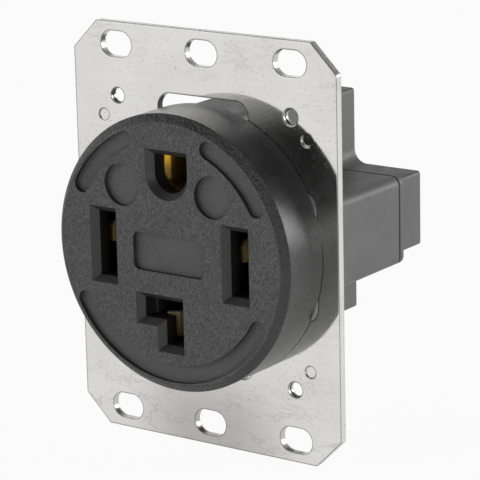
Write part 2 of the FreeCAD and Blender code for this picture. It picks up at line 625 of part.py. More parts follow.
def make_cover():
    """Rear cover: lip, plus-shaped hood, terminal rooms, wire entries and screw access holes."""
    cover = Piece("rear_cover")
    hood = [f"({POST_HALF} - dims.side_inset)", f"({POST_LONG} - dims.end_inset)",
            f"({BAR_HALF} - dims.side_inset)", f"({BAR_LONG} - dims.end_inset)"]
    cover.pad(COVER_REAR, [polygon(plus(*hood))], "dims.cover_d")
    corner = (size("post_w") / 2 - size("side_inset"), size("bar_w") / 2 - size("side_inset"))
    cover.fillet("dims.cove_r", inner_corner(*corner))
    cover.fillet("dims.cover_r", outer_corner(*corner, size("cove_r")))
    rear = size("house_d") + size("seam") + size("cover_d")
    cover.fillet("dims.edge_r", lambda edge: edge.BoundBox.YMin > rear - NEAR)
    outline = plus(POST_HALF, POST_LONG, BAR_HALF, BAR_LONG)
    cover.pad(f"{SEAM_REAR} + dims.lip_t", [polygon(outline)], "dims.lip_t")
    corner = (size("post_w") / 2, size("bar_w") / 2)
    lip_rear = size("house_d") + size("seam") + size("lip_t")

    def in_lip(test):
        return lambda edge: edge.BoundBox.YMax < lip_rear + NEAR and test(edge)

    cover.fillet("dims.inside_r", in_lip(inner_corner(*corner)))
    cover.fillet("dims.house_r", in_lip(outer_corner(*corner, size("inside_r"))))
    rooms = [cover_room(room) for room in (bar_room(-1), bar_room(1), post_room(-1), post_room(1))]
    depth = "dims.cover_d - dims.cover_back"
    cover.pocket(SEAM_REAR, [rectangle(room) for room in rooms], depth)
    core = "dims.long_head + 2 * dims.head_gap + 2 * dims.cover_wall"
    cover.pocket(SEAM_REAR, [rectangle(centre_well()), circle("0", "0", core)], depth)
    shaft = circle("0", "0", "dims.long_dia + 2 * dims.hole_gap")
    cover.pocket(SEAM_REAR, [shaft], "dims.cover_d")
    sink = circle("0", "0", "dims.long_head + 2 * dims.head_gap")
    cover.pocket(HEAD_SEAT, [sink], "dims.long_head_h + dims.head_gap")
    entries = [circle(*spot, "dims.wire_dia") for spot in wire_spots()]
    cover.pocket(COVER_INSIDE, entries, "dims.cover_back")
    wire_edge = size("wire_dia") / 2
    mouths = [f"Edge{i}" for i, edge in enumerate(cover.body.Tip.Shape.Edges, start=1)
              if edge.BoundBox.YMin > rear - NEAR and edge.Curve.TypeId == "Part::GeomCircle"
              and abs(edge.Curve.Radius - wire_edge) < NEAR]
    base = cover.body.Tip
    chamfer = cover.body.newObject("PartDesign::Chamfer", "rear_cover_mouths")
    chamfer.Base = (base, mouths)
    chamfer.setExpression("Size", "dims.wire_mouth")
    doc.recompute()
    access = "dims.screw_dia + 2 * dims.access_gap"
    bar_outside = f"-({BAR_HALF} - dims.side_inset)"
    spots = [(f"{side} * {HOT_X}", SCREW_Y) for side in (-1, 1)]
    cover.bore("XY", bar_outside, spots, access, "dims.cover_wall + dims.house_wall")
    post_outside = f"-({POST_HALF} - dims.side_inset)"
    spots = [(SCREW_Y, f"{side} * {POST_Z}") for side in (-1, 1)]
    cover.bore("YZ", post_outside, spots, access, "dims.cover_wall + dims.house_wall")


def cover_room(room):
    """Terminal room in the cover: a housing chamber drawn in so that the hood keeps its wall."""
    low_x, high_x, low_z, high_z = room
    shift = "(dims.side_inset + dims.cover_wall - dims.house_wall)"
    if "house_wall" in low_z:
        return (low_x, high_x, f"{low_z} + {shift}", f"{high_z} - {shift}")
    return (f"{low_x} + {shift}", f"{high_x} - {shift}", low_z, high_z)


def wire_spots():
    """Middles of the four wire entries, over the open part of each cage."""
    bars = [(f"{side} * {HOT_X}", WIRE_MID) for side in (-1, 1)]
    posts = [(WIRE_MID, f"{side} * {POST_Z}") for side in (-1, 1)]
    return bars + posts


def turned(area, screw_axis):
    """Swap a (screw axis, cross axis) rectangle into (x, z) order."""
    low_p, high_p, low_q, high_q = area
    return (low_p, high_p, low_q, high_q) if screw_axis == "x" else (low_q, high_q, low_p, high_p)


def moved(area, z):
    """Rectangle shifted along Z."""
    low_x, high_x, low_z, high_z = area
    return (low_x, high_x, f"{z} + {low_z}", f"{z} + {high_z}")


def terminal_cage(piece, screw_axis, z):
    """Box lug at the rear of a contact: closed in front, tapped on one side, open to the wire."""
    block = (f"-{CAGE_HALF}", CAGE_HALF, f"-{CAGE_HALF}", CAGE_HALF)
    piece.pad(COVER_INSIDE, [rectangle(moved(block, z))], "dims.cage_l")
    room = turned((NUT_INSIDE, CAGE_FAR, f"-{CAGE_FAR}", CAGE_FAR), screw_axis)
    piece.pocket(f"{CAGE_FRONT} + dims.cage_t", [rectangle(moved(room, z))], "dims.cage_l - dims.cage_t")
    if screw_axis == "x":
        piece.bore("YZ", f"-{CAGE_HALF}", [(SCREW_Y, z)], "dims.screw_dia", "dims.cage_nut")
    else:
        piece.bore("XY", f"{z} - {CAGE_HALF}", [("0", SCREW_Y)], "dims.screw_dia", "dims.cage_nut")


def leaf_profile(side, tip, throat_from):
    """Profile of one spring leaf: flared tip, straight throat, then out to its foot."""
    throat = "(dims.throat / 2)"
    throat_to = f"({throat_from} + dims.throat_l)"
    inner = [tip, (throat, throat_from), (throat, throat_to),
             ("dims.foot_in", f"({throat_to} + dims.spread_l)"), ("dims.foot_in", "dims.step_y")]
    outer = [(f"({u} + dims.leaf_t)", v) for u, v in reversed(inner)]
    return polygon([(f"{side} * {u}", v) for u, v in inner + outer])


def base_and_link(piece, base, z):
    """Base plate seated on the chamber's step, and the strip that leads back to the cage."""
    piece.pad(BASE_REAR, [rectangle(base)], "dims.base_t")
    strip = ("-dims.link_t / 2", "dims.link_t / 2", f"{z} - dims.link_w / 2", f"{z} + dims.link_w / 2")
    piece.pad(CAGE_FRONT, [rectangle(strip)], f"{CAGE_FRONT} - {BASE_REAR}")


def make_hot_contact(label, side):
    """Hot contact: two opposed leaves, the left one high and the right one low."""
    contact = Piece(label, x=f"{side} * {HOT_X}")
    high = f"({HOT_TOP} - dims.leaf_in)"
    half = "(dims.bar_end - dims.end_inset - dims.cover_wall - dims.hole_gap)"
    base_and_link(contact, (f"-{half}", half, f"-{high}", high), "0")
    for leaf_side, low in ((-1, "-dims.leaf_lap"), (1, "-dims.hot_leaf")):
        profile = leaf_profile(leaf_side, (TIP_X, LEAF_TIP), THROAT_FROM)
        contact.leaf(low, profile, "dims.hot_leaf + dims.leaf_lap")
    tips = [corner_cut(LEAF_TIP, f"({up} * dims.hot_leaf)", "dims.tip_r", up) for up in (-1, 1)]
    contact.cross_cut("YZ", f"-{FOOT_OUT}", tips, f"2 * {FOOT_OUT}")
    terminal_cage(contact, "z", "0")


def make_neutral_contact():
    """Neutral contact: leaves on the upright leg of the L, the left one with a wide lip."""
    contact = Piece("neutral_contact")
    low = f"(-{NEUTRAL_LOW} + dims.hole_gap)"
    knee = "(-(dims.neutral_z + dims.blade_slot) + dims.neutral_step)"
    top = "(-dims.neutral_z - dims.leaf_in)"
    reach = f"({POST_HALF} - dims.house_wall - dims.hole_gap)"
    base_and_link(contact, (f"-{reach}", reach, low, knee), f"-{POST_Z}")
    bend, bend_y = "dims.neutral_bend", f"({NEUTRAL_TIP} + dims.lip_l)"
    contact.leaf(low, leaf_profile(-1, (bend, bend_y), NEUTRAL_THROAT), f"{knee} - {low}")
    lip = [("dims.neutral_lip", NEUTRAL_TIP), (bend, bend_y),
           (f"({bend} + dims.leaf_t)", f"{bend_y} + dims.leaf_t"),
           ("dims.neutral_lip", f"{NEUTRAL_TIP} + dims.leaf_t")]
    contact.leaf(low, polygon([(f"-{u}", v) for u, v in lip]), f"{knee} - {low}")
    contact.leaf(low, leaf_profile(1, (TIP_X, NEUTRAL_TIP), NEUTRAL_THROAT), f"{top} - {low}")
    terminal_cage(contact, "x", f"-{POST_Z}")


def make_ground_contact():
    """Ground contact: a U-shaped sleeve round the pin, its sides pressed in behind sloping lead-ins."""
    contact = Piece("ground_contact")
    reach = f"({POST_HALF} - dims.house_wall - dims.hole_gap)"
    high = f"({SLEEVE_TOP} + dims.chamber_gap + dims.base_lap)"
    low = f"(dims.pin_z - {PIN_SIDE} + dims.chamber_gap)"
    base_and_link(contact, (f"-{reach}", reach, low, high), POST_Z)
    sleeve = u_strip(SLEEVE_IN, SLEEVE_OUT, "dims.pin_z", SLEEVE_TOP)
    contact.pad("dims.step_y", [sleeve], f"dims.step_y - {SLEEVE_TIP}")
    guide, crest = f"({SLEEVE_IN} - dims.guide_h)", f"({SLEEVE_IN} - dims.rib_h)"
    rib = [(SLEEVE_IN, SLEEVE_TIP), (guide, f"{SLEEVE_TIP} + dims.guide_l"),
           (crest, f"{SLEEVE_TIP} + dims.rib_from"), (crest, f"{SLEEVE_TIP} + dims.rib_to"),
           (SLEEVE_IN, f"{SLEEVE_TIP} + dims.rib_end")]
    rib_foot = "(dims.pin_z - dims.rib_low)"
    for side in (-1, 1):
        outline = polygon([(f"{side} * {u}", v) for u, v in rib])
        contact.leaf(rib_foot, outline, f"{SLEEVE_TOP} - {rib_foot}")
    terminal_cage(contact, "x", POST_Z)


def make_leaf_spring(label, x, throat_from, low, high, bridge_low):
    """Steel clip that squeezes a pair of leaves, bridged outside the blade's path."""
    clip = Piece(label, x=x)
    outer = f"({CLIP_IN} + dims.clip_t)"
    shut, free = (low, high) if bridge_low else (high, low)
    sign = "+" if bridge_low else "-"
    inside = f"({shut} {sign} dims.clip_t)"
    outline = [(outer, free), (outer, shut), (f"-{outer}", shut), (f"-{outer}", free),
               (f"-{CLIP_IN}", free), (f"-{CLIP_IN}", inside), (CLIP_IN, inside), (CLIP_IN, free)]
    clip.pad(f"{throat_from} + {CLIP_REAR}", [polygon(outline)], "dims.clip_l")


def make_springs():
    """Back-up springs of all four contacts."""
    high = f"({HOT_TOP} - dims.clip_drop + dims.clip_t)"
    low = f"(dims.leaf_in - {HOT_TOP})"
    make_leaf_spring("hot_spring_left", f"-{HOT_X}", THROAT_FROM, low, high, False)
    make_leaf_spring("hot_spring_right", HOT_X, THROAT_FROM, low, high, False)
    knee = "(-(dims.neutral_z + dims.blade_slot) + dims.neutral_step)"
    under = f"(-{NEUTRAL_LOW} - dims.clip_t)"
    make_leaf_spring("neutral_spring", "0", NEUTRAL_THROAT, under, knee, True)
    sleeve = Piece("ground_spring")
    outer = f"({SLEEVE_OUT} + dims.clip_t)"
    strip = u_strip(SLEEVE_OUT, outer, "dims.pin_z", f"({SLEEVE_TOP} - dims.leaf_t)")
    sleeve.pad(f"{THROAT_FROM} + {CLIP_REAR}", [strip], "dims.clip_l")


def make_clamp(label, screw_axis, x, z):
    """Pressure plate that the terminal screw pushes onto the wire."""
    plate = Piece(label, x=x, z=z)
    side = "(dims.cage_t + dims.clamp_side)"
    half = f"({CAGE_HALF} - {side})"
    area = turned((CLAMP_OUT, CLAMP_IN, f"-{half}", half), screw_axis)
    length = f"dims.cage_l - dims.clamp_side - {side}"
    plate.pad(f"{COVER_INSIDE} - dims.clamp_side", [rectangle(area)], length)


def terminal_screw(piece, screw_axis, x, z):
    """Slotted pressure screw, its tip on the clamp plate."""
    plane = "YZ" if screw_axis == "x" else "XY"
    spot = (SCREW_Y, z) if screw_axis == "x" else (x, SCREW_Y)
    end = f"({CLAMP_OUT} - dims.screw_l)"
    sheet = piece.sketch(plane, end)
    circle(*spot, "dims.screw_dia")(sheet)
    piece.feature("Pad", sheet, "dims.screw_l")
    drive_cut = piece.sketch(plane, end)
    half, reach = "dims.drive_w / 2", "dims.screw_dia"
    u, v = spot
    rectangle((f"{u} - {half}", f"{u} + {half}", f"{v} - {reach}", f"{v} + {reach}"))(drive_cut)
    piece.feature("Pocket", drive_cut, "dims.drive_d", flipped=True)


def make_terminals():
    """Clamp plates and pressure screws of all four terminals."""
    make_clamp("hot_clamp_left", "z", f"-{HOT_X}", "0")
    make_clamp("hot_clamp_right", "z", HOT_X, "0")
    make_clamp("neutral_clamp", "x", "0", f"-{POST_Z}")
    make_clamp("ground_clamp", "x", "0", POST_Z)
    hot = Piece("hot_terminal_screws")
    hot.body.AllowCompound = True
    for side in (-1, 1):
        terminal_screw(hot, "z", f"{side} * {HOT_X}", "0")
    terminal_screw(Piece("neutral_terminal_screw"), "x", "0", f"-{POST_Z}")
    terminal_screw(Piece("ground_terminal_screw"), "x", "0", POST_Z)


def screw_with_head(piece, spot, seat, head, shank):
    """Headed screw along Y: head behind its seat, shank in front, cross recess in the head."""
    head_dia, head_h, cross = head
    shank_dia, shank_l = shank
    piece.pad(f"{seat} + {head_h}", [circle(*spot, head_dia)], head_h)
    piece.pad(seat, [circle(*spot, shank_dia)], shank_l)
    u, v = spot
    half, reach = "dims.drive_w / 2", f"{cross} / 2"
    for wide, tall in ((half, reach), (reach, half)):
        bar = rectangle((f"{u} - {wide}", f"{u} + {wide}", f"{v} - {tall}", f"{v} + {tall}"))
        piece.pocket(f"{seat} + {head_h} - dims.drive_d", [bar], "dims.drive_d")


def make_fasteners():
    """Four strap screws, one of them over the ground jumper, and the long assembly screw."""
    screws = Piece("strap_screws")
    screws.body.AllowCompound = True
    over_jumper = four("dims.boss_dx", "dims.boss_dz")[3]
    head = ("dims.pan_dia", "dims.pan_h", "dims.pan_cross")
    for spot in four("dims.boss_dx", "dims.boss_dz"):
        seat = "dims.jumper_t" if spot == over_jumper else "0"
        bite = f"{seat} + dims.strap_t + dims.tap_l"
        screw_with_head(screws, spot, seat, head, ("dims.tap_dia", bite))
    long_screw = Piece("assembly_screw")
    shank = f"{HEAD_SEAT} + dims.strap_t + dims.long_bite"
    head = ("dims.long_head", "dims.long_head_h", "dims.long_cross")
    screw_with_head(long_screw, ("0", "0"), HEAD_SEAT, head, ("dims.long_dia", shank))


def make_jumper():
    """Brass strip under one strap screw, through the post's wall to the ground sleeve."""
    strip = Piece("ground_jumper")
    middle = "dims.boss_dz / 2"
    area = ("-(dims.boss_dx / 2 + dims.jumper_tail)", f"-{SLEEVE_OUT}",
            f"{middle} - dims.jumper_w / 2", f"{middle} + dims.jumper_w / 2")
    strip.pad("dims.jumper_t", [rectangle(area)], "dims.jumper_t")
    hole = circle("-dims.boss_dx / 2", middle, "dims.tap_dia + 2 * dims.hole_gap")
    strip.pocket("0", [hole], "dims.jumper_t")


def check_and_write():
    """Stop on any failed object or bad shape, then write one file per piece."""
    doc.recompute()
    failed = [item.Name for item in doc.Objects if {"Invalid", "Error"} & set(item.State)]
    bad = [body.Label for body in pieces if body.Shape.isNull() or not body.Shape.isValid()]
    if failed or bad:
        raise RuntimeError(f"failed objects {failed}, bad shapes {bad}")
    os.makedirs("parts", exist_ok=True)
    for body in pieces:
        body.Shape.exportStep(f"parts/{body.Label}.step")


pieces = []
make_strap()
make_face()
make_housing()
make_cover()
make_hot_contact("hot_contact_left", -1)
make_hot_contact("hot_contact_right", 1)
make_neutral_contact()
make_ground_contact()
make_springs()
make_terminals()
make_fasteners()
make_jumper()
check_and_write()
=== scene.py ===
"""Studio scene of the four-prong dryer outlet: materials, screw threads, floor, lights and camera.

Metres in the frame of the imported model: X right, Y to the rear, Z up, face towards -Y.
Materials work in millimetres of object space, so a noise scale of 1 means features of about 1 mm.
"""
import json
import math

import bmesh
import bpy
from mathutils import Matrix, Vector


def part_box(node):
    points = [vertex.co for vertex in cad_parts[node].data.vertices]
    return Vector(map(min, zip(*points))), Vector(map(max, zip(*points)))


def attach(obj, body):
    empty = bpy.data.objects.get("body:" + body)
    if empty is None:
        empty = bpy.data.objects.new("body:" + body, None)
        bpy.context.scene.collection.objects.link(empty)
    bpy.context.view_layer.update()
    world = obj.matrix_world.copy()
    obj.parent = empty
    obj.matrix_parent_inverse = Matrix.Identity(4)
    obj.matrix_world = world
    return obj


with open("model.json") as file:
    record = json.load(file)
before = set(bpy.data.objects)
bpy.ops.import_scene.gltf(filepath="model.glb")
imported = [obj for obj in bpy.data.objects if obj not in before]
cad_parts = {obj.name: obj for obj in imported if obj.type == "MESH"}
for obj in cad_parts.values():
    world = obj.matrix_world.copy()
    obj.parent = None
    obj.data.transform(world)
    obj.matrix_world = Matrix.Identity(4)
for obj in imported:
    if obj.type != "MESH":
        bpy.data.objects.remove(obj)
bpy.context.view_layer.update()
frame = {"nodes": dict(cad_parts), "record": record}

MM = 0.001
FACE_LOW, FACE_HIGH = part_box("face")
FACE_FRONT = FACE_LOW.y / MM
FACE_RIM = FACE_HIGH.x / MM
FACE_BEVEL, MOUTH_DEPTH = 1.6, 1.7
STRAP_LOW, STRAP_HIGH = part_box("mounting_strap")
STRAP_FRONT, STRAP_REAR = STRAP_LOW.y / MM, 0.0
STRAP_CUT = 6.45
GROUND_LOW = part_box("ground_contact")[0].z / MM
PLATE_SCREWS = next(m for m in frame["record"]["mounts"] if m["name"] == "cover_plate_screws")["dims"]


class Nodes:
    """Node tree of a material or world; every method adds nodes and returns the socket with the result."""

    def __init__(self, block):
        block.use_nodes = True
        self.block = block
        self.tree = block.node_tree
        self.tree.nodes.clear()

    def node(self, kind, **inputs):
        made = self.tree.nodes.new(kind)
        for name, value in inputs.items():
            self.feed(made.inputs[name.replace("_", " ")], value)
        return made

    def feed(self, socket, value):
        if isinstance(value, bpy.types.NodeSocket):
            self.tree.links.new(value, socket)
        else:
            socket.default_value = value

    def math(self, operation, first, second=0.0):
        made = self.tree.nodes.new("ShaderNodeMath")
        made.operation = operation
        for socket, value in zip(made.inputs, (first, second)):
            self.feed(socket, value)
        return made.outputs[0]

    def vector(self, operation, first, second, output="Vector"):
        made = self.tree.nodes.new("ShaderNodeVectorMath")
        made.operation = operation
        for socket, value in zip(made.inputs, (first, second)):
            self.feed(socket, value)
        return made.outputs[output]

    def remap(self, value, low, high, to_low, to_high, smooth=False):
        made = self.node("ShaderNodeMapRange", Value=value)
        made.interpolation_type = "SMOOTHSTEP" if smooth else "LINEAR"
        for name, number in zip(("From Min", "From Max", "To Min", "To Max"), (low, high, to_low, to_high)):
            self.feed(made.inputs[name], number)
        return made.outputs["Result"]

    def tint(self, amount, first, second):
        """Mix from one colour to another."""
        made = self.tree.nodes.new("ShaderNodeMix")
        made.data_type = "RGBA"
        self.feed(made.inputs["Factor"], amount)
        colours = [socket for socket in made.inputs if socket.type == "RGBA"]
        for socket, value in zip(colours, (first, second)):
            self.feed(socket, value)
        return next(socket for socket in made.outputs if socket.type == "RGBA")


BEVEL_SAMPLES = 6
EDGE_FROM, EDGE_FULL = 0.99, 0.92


class Material(Nodes):
    """Material whose patterns live in object millimetres."""

    def __init__(self, name):
        super().__init__(bpy.data.materials.new(name))
        place = self.tree.nodes.new("ShaderNodeTexCoord").outputs["Object"]
        self.mm = self.vector("MULTIPLY", place, (1 / MM,) * 3)
        parts = self.node("ShaderNodeSeparateXYZ", Vector=self.mm)
        self.x, self.y, self.z = (parts.outputs[i] for i in range(3))

    def noise(self, scale, detail=2.0, roughness=0.5, distortion=0.0, stretch=(1.0, 1.0, 1.0), place=None):
        place = place or self.vector("MULTIPLY", self.mm, stretch)
        made = self.node("ShaderNodeTexNoise", Vector=place, Scale=scale, Detail=detail,
                         Roughness=roughness, Distortion=distortion)
        return made.outputs["Fac"]

    def slanted(self, along, across, angle):
        """Coordinates turned in the XZ plane, drawn out along one slanted direction."""
        made = self.tree.nodes.new("ShaderNodeCombineXYZ")
        run, rise = math.cos(angle), math.sin(angle)
        for socket, axis in zip(made.inputs, ((run * along, 0, rise * along), (0, across, 0),
                                              (-rise * across, 0, run * across))):
            self.feed(socket, self.vector("DOT_PRODUCT", self.mm, axis, "Value"))
        return made.outputs["Vector"]

    def brushed(self):
        """Fine marks of rolling or turning."""
        return self.noise(4.0, 3.0, 0.6, stretch=(0.3, 0.06, 0.9))

    def specks(self, scale, size):
        """Small dots, 1 inside and 0 outside, one in each cell of a Voronoi pattern."""
        made = self.node("ShaderNodeTexVoronoi", Vector=self.mm, Scale=scale)
        return self.math("LESS_THAN", made.outputs["Distance"], size)

    def both(self, first, second):
        return self.math("MULTIPLY", first, second)

    def rounded(self, edge_mm):
        """Normal that rounds sharp edges by a small radius."""
        made = self.node("ShaderNodeBevel", Radius=edge_mm * MM)
        made.samples = BEVEL_SAMPLES
        return made.outputs["Normal"]

    def plain_normal(self):
        return self.tree.nodes.new("ShaderNodeNewGeometry").outputs["Normal"]

    def depth_turn(self):
        """1 where the surface faces straight to the front or rear, 0 where it runs in depth."""
        turned = self.node("ShaderNodeSeparateXYZ", Vector=self.plain_normal()).outputs["Y"]
        return self.math("ABSOLUTE", turned)

    def edge_band(self, rounded):
        """1 on the rounded edges and 0 on plain surfaces."""
        turned = self.vector("DOT_PRODUCT", rounded, self.plain_normal(), "Value")
        return self.remap(turned, EDGE_FROM, EDGE_FULL, 0.0, 1.0)

    def bump(self, height, strength, depth_mm, rounded):
        """Normal of a bumped surface."""
        made = self.node("ShaderNodeBump", Height=height, Strength=strength, Distance=depth_mm * MM,
                         Normal=rounded)
        return made.outputs["Normal"]

    def shader(self, **inputs):
        principled = self.node("ShaderNodeBsdfPrincipled", **inputs)
        self.node("ShaderNodeOutputMaterial", Surface=principled.outputs[0])
        return self.block


GRAIN_ANGLE = math.radians(53.5)
SCRATCH_ANGLES = math.radians(8.0), math.radians(-62.0)


FACE_DARK, FACE_PALE = 0.030, 0.150
BODY_DARK, BODY_PALE = 0.125, 0.16
UNLIT = 0.004


def grey(level):
    return (level, level, level, 1.0)


def face_plastic():
    """Charcoal moulding: slanted grain in front, wrinkled bevel, glossy side, painted shade on the slot
    walls and in the deep throat.
    """
    m = Material("face_plastic")
    radius = m.math("SQRT", m.math("ADD", m.both(m.x, m.x), m.both(m.z, m.z)))
    outer = m.math("GREATER_THAN", radius, FACE_RIM - FACE_BEVEL - 0.1)
    within = m.math("SUBTRACT", 1.0, outer)
    ring = m.both(outer, m.math("LESS_THAN", m.y, FACE_FRONT + FACE_BEVEL + 0.02))
    side = m.both(outer, m.math("GREATER_THAN", m.y, FACE_FRONT + FACE_BEVEL))
    shaded_throat = m.both(within, m.math("GREATER_THAN", m.y, FACE_FRONT + MOUTH_DEPTH + 0.05))
    facing = m.math("GREATER_THAN", m.depth_turn(), 0.9)
    wall = m.both(within, m.math("SUBTRACT", 1.0, facing))
    front = m.both(facing, m.remap(m.y, FACE_FRONT + 0.02, FACE_FRONT + 0.12, 1.0, 0.25))
    cloud = m.noise(0.12, 3.0)
    leather = m.noise(1.0, 1.5, 0.6, 0.4, place=m.slanted(1.9, 4.4, GRAIN_ANGLE))
    ridges = m.remap(leather, 0.34, 0.66, 0.0, 1.0, smooth=True)
    coarse = m.noise(1.3, 2.0, 0.55)
    wrinkles = m.both(coarse, m.both(ring, 1.8))
    grain = m.math("ADD", m.both(ridges, m.remap(front, 0.0, 1.0, 0.03, 0.35)), wrinkles)
    lift = m.math("ADD", 0.42, m.both(m.math("SUBTRACT", ridges, 0.5), m.both(front, 0.75)))
    tone = m.math("ADD", m.remap(cloud, 0.3, 0.7, 0.0, 0.2), m.both(facing, lift))
    base = m.tint(tone, grey(FACE_DARK), grey(FACE_PALE))
    rounded = m.rounded(0.08)
    chips = m.both(m.edge_band(rounded), m.remap(m.noise(1.6, 2.0), 0.54, 0.64, 0.0, 0.3))
    dust = m.both(m.specks(0.55, 0.06), m.math("GREATER_THAN", m.noise(0.09, 2.0), 0.5))
    colour = m.tint(m.math("MAXIMUM", chips, m.both(dust, 0.25)), base, grey(0.4))
    # Painted shade: the throat deep in the slots, and less so the slot walls, is darkened towards unlit
    # black.
    colour = m.tint(m.math("MAXIMUM", m.both(wall, 0.35), m.both(shaded_throat, 0.85)), colour, grey(UNLIT))
    rough = m.math("ADD", m.both(side, -0.22), m.remap(cloud, 0.3, 0.7, 0.46, 0.54))
    normal = m.bump(grain, 1.0, 0.42, rounded)
    return m.shader(Base_Color=colour, Roughness=rough, Normal=normal, Specular_IOR_Level=0.5)


def body_plastic():
    """Grey moulding of the rear body: smooth and matte, with faint flow marks and dust, and painted shade
    where it lies in front of the strap inside the face.
    """
    m = Material("body_plastic")
    cloud = m.noise(0.09, 4.0, 0.6)
    flow = m.noise(0.8, 3.0, stretch=(0.25, 0.05, 0.25))
    tone = m.math("ADD", m.both(cloud, 0.7), m.both(flow, 0.3))
    base = m.tint(m.remap(tone, 0.3, 0.7, 0.0, 1.0), grey(BODY_DARK), grey(BODY_PALE))
    dust = m.both(m.specks(0.4, 0.04), m.math("GREATER_THAN", cloud, 0.52))
    colour = m.tint(m.both(dust, 0.4), base, grey(0.5))
    # Painted shade: body parts in front of the strap, inside the face, are darkened to near black.
    inside = m.math("LESS_THAN", m.y, STRAP_FRONT - 0.1)
    colour = m.tint(m.both(inside, 0.9), colour, grey(UNLIT))
    rough = m.remap(m.noise(0.5, 3.0), 0.3, 0.7, 0.42, 0.54)
    normal = m.bump(m.noise(2.6, 2.0), 0.3, 0.06, m.rounded(0.45))
    return m.shader(Base_Color=colour, Roughness=rough, Normal=normal, Specular_IOR_Level=0.5)


STEEL, STEEL_ROLLED = (0.85, 0.845, 0.83, 1.0), (0.82, 0.815, 0.80, 1.0)
STEEL_CLOUDY, STEEL_SHADED = (0.66, 0.65, 0.63, 1.0), (0.50, 0.49, 0.46, 1.0)
STEEL_STAINED = (0.38, 0.37, 0.34, 1.0)
SHADE_TOP, SHADE_LOW = -24.0, -42.0
SHADE_CORE, SHADE_RIM = 4.0, 27.0
SKIN = 0.03


def plated_steel():
    """Bright plated sheet: tide marks, fine scratches, dust and torn edges; painted shade lower down and on
    the hole walls, painted dark reflection on the die-rolled rims.
    """
    m = Material("plated_steel")
    rolled = m.noise(1.0, 3.0, 0.6, 0.2, (0.03, 1.0, 1.6))
    cloud = m.noise(0.06, 4.0, 0.6)
    tides = []
    for scale, level in ((0.030, 0.5), (0.045, 0.44)):
        flow = m.noise(scale, 6.0, 0.62, 0.3, (0.4, 1.0, 1.5))
        away = m.math("ABSOLUTE", m.math("SUBTRACT", flow, level))
        tides.append(m.remap(away, 0.0, 0.010, 1.0, 0.0, smooth=True))
    low = m.remap(m.z, SHADE_TOP, SHADE_LOW, 0.0, 1.0, smooth=True)
    blot = m.remap(cloud, 0.46, 0.62, 0.0, 0.6)
    tide = m.both(m.math("MAXIMUM", *tides), m.math("MAXIMUM", low, blot))
    across, upright = m.math("ABSOLUTE", m.x), m.math("ABSOLUTE", m.z)
    # Painted shade: the strap darkens towards the bottom middle.
    lower_shade = m.both(low, m.remap(across, SHADE_CORE, SHADE_RIM, 1.0, 0.0, smooth=True))
    scratches = []
    for angle in SCRATCH_ANGLES:
        lines = m.noise(1.0, 3.0, 0.6, 0.4, place=m.slanted(0.10, 1.9, angle))
        scratches.append(m.remap(lines, 0.66, 0.72, 0.0, 1.0))
    scratch = m.math("MAXIMUM", *scratches)
    pits = m.both(m.specks(0.35, 0.05), m.math("GREATER_THAN", m.noise(0.05), 0.5))
    dust = m.both(m.specks(1.0, 0.11), m.math("GREATER_THAN", m.noise(0.16, 3.0), 0.46))
    half_w, half_h = STRAP_HIGH.x / MM, STRAP_HIGH.z / MM
    level_edge = m.math("GREATER_THAN", upright, half_h - SKIN)
    cut_edge = m.math("GREATER_THAN", m.math("ADD", across, upright), half_w + half_h - STRAP_CUT - SKIN)
    sheared = m.math("MAXIMUM", level_edge, cut_edge)
    torn = m.both(sheared, m.remap(m.noise(2.6, 3.0, 0.7), 0.50, 0.58, 0.0, 0.65))
    flat = m.math("GREATER_THAN", m.depth_turn(), 0.5)
    inner = m.math("LESS_THAN", across, half_w - SKIN)
    wall = m.both(m.math("SUBTRACT", 1.0, flat), inner)
    rounded = m.rounded(0.55)
    # Painted dark reflection on the rounded rims of the flat sides.
    rim_reflection = m.both(m.edge_band(rounded), flat)
    base = m.tint(m.remap(rolled, 0.35, 0.65, 0.0, 1.0), STEEL, STEEL_ROLLED)
    base = m.tint(m.remap(cloud, 0.40, 0.66, 0.0, 0.30), base, STEEL_CLOUDY)
    # Painted shade towards the bottom middle of the strap.
    base = m.tint(m.both(lower_shade, 0.9), base, STEEL_SHADED)
    base = m.tint(m.both(tide, 0.34), base, STEEL_STAINED)
    base = m.tint(m.both(scratch, 0.30), base, grey(0.42))
    # Painted shade on the inner walls of the holes and slots.
    base = m.tint(m.both(wall, 0.4), base, grey(0.45))
    # Real torn edges and pits, together with the painted dark reflection on the rims.
    marks = m.math("MAXIMUM", m.math("MAXIMUM", torn, m.both(pits, 0.6)), m.both(rim_reflection, 0.95))
    base = m.tint(marks, base, grey(0.07))
    base = m.tint(dust, base, grey(0.42))
    rough = m.math("ADD", m.remap(rolled, 0.3, 0.7, 0.05, 0.10), m.both(wall, 0.12))
    normal = m.bump(m.noise(0.25, 2.0), 0.04, 0.05, rounded)
    metallic = m.remap(dust, 0.0, 1.0, 1.0, 0.3)
    return m.shader(Base_Color=base, Metallic=metallic, Roughness=rough, Normal=normal)


def metal(name, light, dark, rough_low, rough_high):
    """Rolled or turned metal: tone drifts between two colours, with fine brushing."""
    m = Material(name)
    drift = m.noise(0.25, 3.0, 0.6)
    brush = m.brushed()
    tone = m.math("ADD", m.both(drift, 0.7), m.both(brush, 0.3))
    colour = m.tint(m.remap(tone, 0.3, 0.7, 0.0, 1.0), (*dark, 1.0), (*light, 1.0))
    rough = m.remap(brush, 0.3, 0.7, rough_low, rough_high)
    normal = m.bump(brush, 0.1, 0.02, m.rounded(0.1))
    return m.shader(Base_Color=colour, Metallic=1.0, Roughness=rough, Normal=normal)


OLIVE, BROWN_SHADED, AMBER_LIT = (0.56, 0.47, 0.25, 1.0), (0.24, 0.16, 0.04, 1.0), (0.95, 0.56, 0.04, 1.0)
LIT_LOW, LIT_HIGH = 17.0, 20.5
LIT_NEAR, LIT_DEEP = FACE_FRONT + 5.4, FACE_FRONT + 9.5


